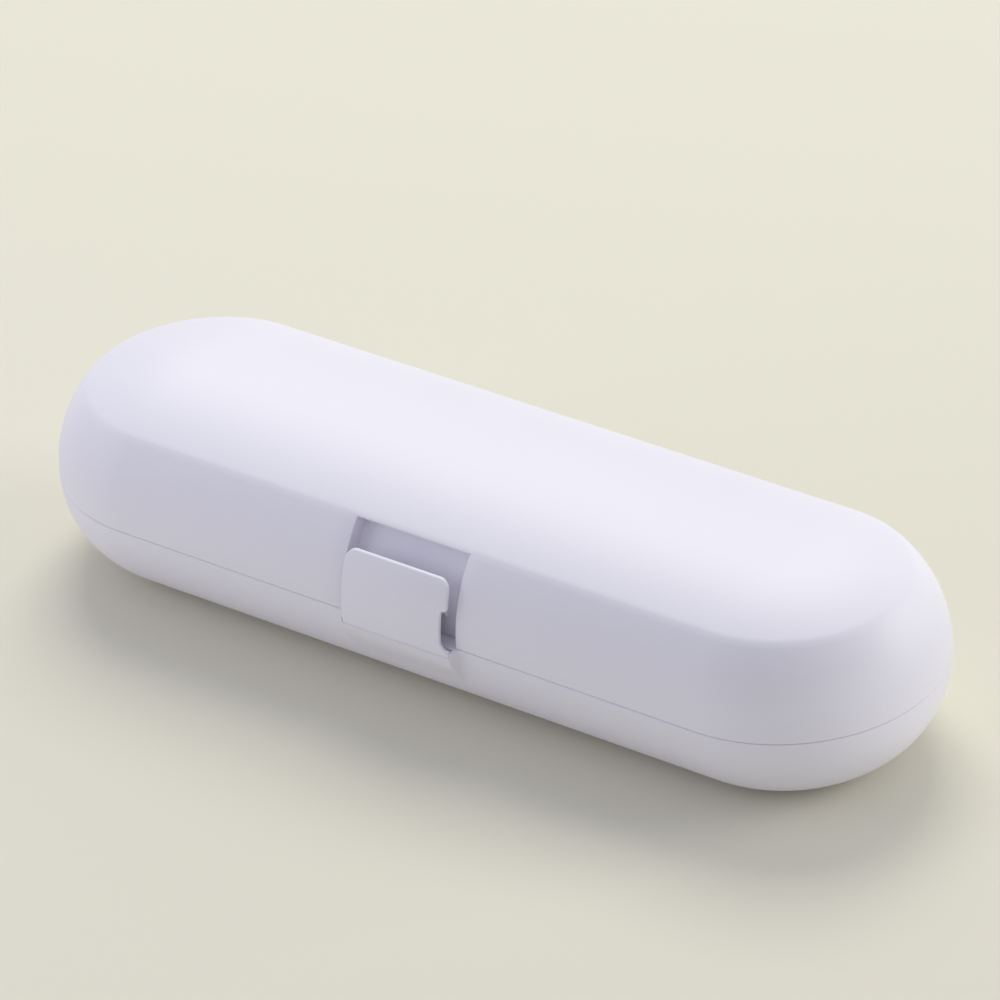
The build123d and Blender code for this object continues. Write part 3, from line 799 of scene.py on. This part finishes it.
# %% Bend the plate and add its root and nib
tab_radius = side_radius + tab_proud
for vertex in plate.verts:
    rise = max(vertex.co.z - side_centre[1], 0)
    angle = asin(max(base_height - vertex.co.z, 0) / (base_height + tab_proud))
    tuck = base_height * (1 - cos(angle)) + tab_proud * (1 - swell_share(angle) * cos(angle))
    vertex.co.y = tuck - side_centre[0] - ((tab_radius - vertex.co.y) ** 2 - rise ** 2) ** 0.5
tab_skin = as_object("tab_skin", plate)
root_play, root_step = 0.006 * mm, 0.05 * mm
carve(tab_skin, round_bar(seat - root_play, foot_reach - root_step, root_distance, root_height,
                          foot_middle, soft_end=0.1 * mm, segments=64), "UNION")
nib_distance, nib_height = 31.827 * mm, 28.9 * mm
nib_low, nib_high = nib_height - catch_radius, nib_height + catch_radius
nib_foot = 34.92 * mm                           # between the plate's back and its front
carve(tab_skin, prism([(nib_foot, nib_low), (nib_foot, nib_high),
                       (nib_distance, nib_high), (nib_distance, nib_low)], catch_half), "UNION")
carve(tab_skin, round_bar(catch_radius, catch_half, nib_distance, nib_height), "UNION")
smooth(tab_skin, limit=35)
dress(tab_skin, shell_plastic, "latch", "shell_plastic", "latch_tab")

# %% [markdown]
# ## The tray
# The tray is one moulding: a slot-shaped deck just below the parting face, with a round-bottomed
# trough for the handle and two bays for brush heads. A trough is a quarter circle carried round its
# own small slot. The outer forms are joined to the deck before the inner ones are cut out, which
# leaves an even wall everywhere.

# %% Deck, trough and bays
deck_top = base_height - 0.4 * mm
tray_wall = 1.2 * mm
deck_under = deck_top - tray_wall
deck_half = half_width - wall - 0.3 * mm


def bowl(radius, axis, length, shift, soft=0.0):
    """Round-bottomed, round-ended trough as a solid; a soft one flares out at the deck."""
    line = Section(0, axis - radius)
    line.arc((0, axis), -90, 24)
    line.line((radius, deck_top - soft))
    if soft:
        line.arc((radius + soft, deck_top - soft), 84, 4)
        line.line((radius + soft, deck_top + wall), (0, deck_top + wall))
    else:
        line.line((0, deck_top))
    return run_round(line, length, end_steps=48, straight_steps=4, shift=shift)


deck_soft = 0.4 * mm
deck_line = Section(0, deck_under)
deck_line.line((deck_half, deck_under), (deck_half, deck_top - deck_soft))
deck_line.arc((deck_half - deck_soft, deck_top - deck_soft), -90, 4)
deck_line.line((0, deck_top))
tray_skin = as_object("tray_skin", run_round(deck_line, straight_steps=4))
cut_low, cut_high = deck_under - 1 * mm, deck_top + 1 * mm
sill_room, notch_back = sill_half + 0.3 * mm, half_width - wall - 3.1 * mm
carve(tray_skin, prism([(half_width, cut_low), (half_width, cut_high),
                        (notch_back, cut_high), (notch_back, cut_low)], sill_room))
trough_radius, trough_length = 15.25 * mm, 161.0 * mm
bay_length, bay_place = 69.5 * mm, 48.75 * mm
troughs = [(trough_radius, handle_axis, trough_length, (0, handle_offset))]
troughs += [(head_radius, head_axis, bay_length, (side * bay_place, -head_offset)) for side in (-1, 1)]
for radius, axis, length, shift in troughs:
    carve(tray_skin, bowl(radius + tray_wall, axis, length, shift), "UNION")
for radius, axis, length, shift in troughs:
    carve(tray_skin, bowl(radius, axis, length, shift, deck_soft))
print("tray:", len(tray_skin.data.polygons), "faces")

# %% Holes for stakes and drains
posts = [(side * 96.5 * mm, -5.0 * mm) for side in (-1, 1)]
posts += [(side * 45.0 * mm, 29.5 * mm) for side in (-1, 1)] + [(0, -20.0 * mm)]


def drill(piece, x, y, radius, low, high):
    """Cut one upright round hole."""
    bm = bmesh.new()
    bmesh.ops.create_cone(bm, cap_ends=True, segments=32, radius1=radius, radius2=radius,
                          depth=high - low)
    bmesh.ops.translate(bm, verts=bm.verts, vec=(x, y, (low + high) / 2))
    carve(piece, bm)


stake_hole, drain_hole = 1.3 * mm, 1.5 * mm
for x, y in posts:
    drill(tray_skin, x, y, stake_hole, cut_low, cut_high)
for place in vent_places:
    drill(tray_skin, place, handle_offset, drain_hole, 0, handle_axis)
smooth(tray_skin)
dress(tray_skin, tray_plastic, "base", "tray_plastic", "base_tray")

# %% [markdown]
# ## Stakes
# Five posts rise from the base through the tray, and each is closed over with a small heat-formed
# head, as on a real moulding. One line turned round its own axis makes a post, and the filled base
# trims all five to the curve of the shell.

# %% Posts and stakes
def filled_base(inset):
    """The base as a solid, a little inside its outer face."""
    line = Section(0, inset)
    line.line((flat_half, inset))
    line.arc((flat_half, base_height), -90, 24)
    line.line((half_width - inset, base_height + beyond), (0, base_height + beyond))
    return run_round(line)


def turned(outline, x, y):
    """A lathe-turned piece: a line of (radius, height) spun once round its own upright axis."""
    bm = bmesh.new()
    spots = [bm.verts.new((x + radius, y, height)) for radius, height in outline]
    edges = [bm.edges.new(pair) for pair in zip(spots, spots[1:])]
    bmesh.ops.spin(bm, geom=spots + edges, cent=(x, y, 0), axis=(0, 0, 1), angle=2 * pi, steps=32,
                   use_merge=True)
    bmesh.ops.remove_doubles(bm, verts=bm.verts, dist=weld)
    bmesh.ops.recalc_face_normals(bm, faces=bm.faces)
    return bm


post_radius, stake_radius = 2.2 * mm, 1.2 * mm
post_foot, post_inset = 0.1 * mm, 0.9 * mm
dome = ((1.9, 0), (1.86, 0.18), (1.68, 0.42), (1.38, 0.6), (0.9, 0.68), (0, 0.7))    # radius, rise: mm
stake_line = [(0, post_foot), (post_radius, post_foot), (post_radius, deck_under),
              (stake_radius, deck_under), (stake_radius, deck_top)]
stake_line += [(radius * mm, deck_top + rise * mm) for radius, rise in dome]
tray_posts = join("tray_posts", [as_object("post", turned(stake_line, x, y)) for x, y in posts])
carve(tray_posts, filled_base(post_inset), "INTERSECT")
smooth(tray_posts, limit=40)
dress(tray_posts, shell_plastic, "base", "shell_plastic")

# %% [markdown]
# ## Soft pads
# Two silicone bands cradle the handle and one lies in each head bay. A pad is a small rounded
# rectangle spun part of the way round the trough's own axis.

# %% Pads
pad_thickness, pad_soft, pad_end = 1 * mm, 0.28 * mm, 0.2 * mm
pad_reach = 75                 # degrees up each side of the trough


def cradle_pad(name, node, width, inner, x, y, axis):
    """A soft band round the bottom of a trough."""
    bm = bmesh.new()
    outer = inner + pad_thickness
    spots = [bm.verts.new((x + side * width / 2, y, axis - radius))
             for side, radius in ((-1, inner), (1, inner), (1, outer), (-1, outer))]
    bm.faces.new(spots)
    bmesh.ops.bevel(bm, geom=spots, offset=pad_soft, offset_type="OFFSET", segments=4, profile=0.5,
                    affect="VERTICES", material=-1, clamp_overlap=True)
    bmesh.ops.rotate(bm, verts=bm.verts, cent=(x, y, axis),
                     matrix=Matrix.Rotation(radians(-pad_reach), 3, "X"))
    bmesh.ops.spin(bm, geom=list(bm.faces), cent=(x, y, axis), axis=(1, 0, 0),
                   angle=radians(2 * pad_reach), steps=60, use_merge=False)
    bmesh.ops.recalc_face_normals(bm, faces=bm.faces)
    piece = as_object(name, bm)

    def at_an_end(spot):
        return abs(degrees(atan2(spot.y - y, axis - spot.z))) > pad_reach - 0.1

    round_edges(piece, pad_end, 3, at_an_end, limit=50)
    smooth(piece, limit=40)
    dress(piece, soft_silicone, "base", "soft_pad", node)


two_ends = (("left", -1), ("right", 1))
handle_band = 12 * mm, 14.2 * mm                # width, and radius of the hollow
head_band = 8 * mm, 8.25 * mm
band_place = 66 * mm
for name, side in two_ends:
    cradle_pad(f"handle_band_{name}", f"handle_pad_{name}", *handle_band,
               side * band_place, handle_offset, handle_axis)
    cradle_pad(f"head_band_{name}", f"head_pad_{name}", *head_band,
               side * bay_place, -head_offset, head_axis)

# %% [markdown]
# ## Hinge pins
# The pins are drawn steel wire, cut and lightly chamfered. Drawing leaves fine lines along the wire,
# so the grain is stretched along X and squeezed across it.

# %% Steel of the pins
def drawn_steel(name):
    """Bright drawn wire, with fine lines along X."""
    material = bpy.data.materials.new(name)
    material.use_nodes = True
    nodes, links = material.node_tree.nodes, material.node_tree.links
    shader = nodes["Principled BSDF"]
    shader.inputs["Metallic"].default_value = 1.0
    place = nodes.new("ShaderNodeTexCoord")
    stretch = nodes.new("ShaderNodeMapping")
    stretch.inputs["Scale"].default_value = (0.05, 1.0, 1.0)
    links.new(place.outputs["Object"], stretch.inputs["Vector"])
    lines = nodes.new("ShaderNodeTexNoise")
    lines.inputs["Scale"].default_value = 6000.0
    links.new(stretch.outputs["Vector"], lines.inputs["Vector"])
    shade = nodes.new("ShaderNodeMix")
    shade.data_type = "RGBA"
    shade.inputs["A"].default_value = to_linear(188, 189, 192)
    shade.inputs["B"].default_value = to_linear(208, 208, 210)
    links.new(lines.outputs["Fac"], shade.inputs["Factor"])
    links.new(shade.outputs["Result"], shader.inputs["Base Color"])
    polish = nodes.new("ShaderNodeMapRange")
    polish.inputs["To Min"].default_value = 0.22
    polish.inputs["To Max"].default_value = 0.42
    links.new(lines.outputs["Fac"], polish.inputs["Value"])
    links.new(polish.outputs["Result"], shader.inputs["Roughness"])
    return material


pin_steel = drawn_steel("pin_steel")
print("steel:", pin_steel.name)

# %% Pins
pin_radius, pin_half, pin_soft = 1 * mm, 12.7 * mm, 0.2 * mm
for name, side in two_ends:
    wire = round_bar(pin_radius, pin_half, -pin_distance, pin_height, side * hinge_centre,
                     soft_end=pin_soft, segments=48)
    pin = as_object(f"pin_{name}", wire)
    smooth(pin, limit=40)
    dress(pin, pin_steel, "base", "pin_steel", f"hinge_pin_{name}")
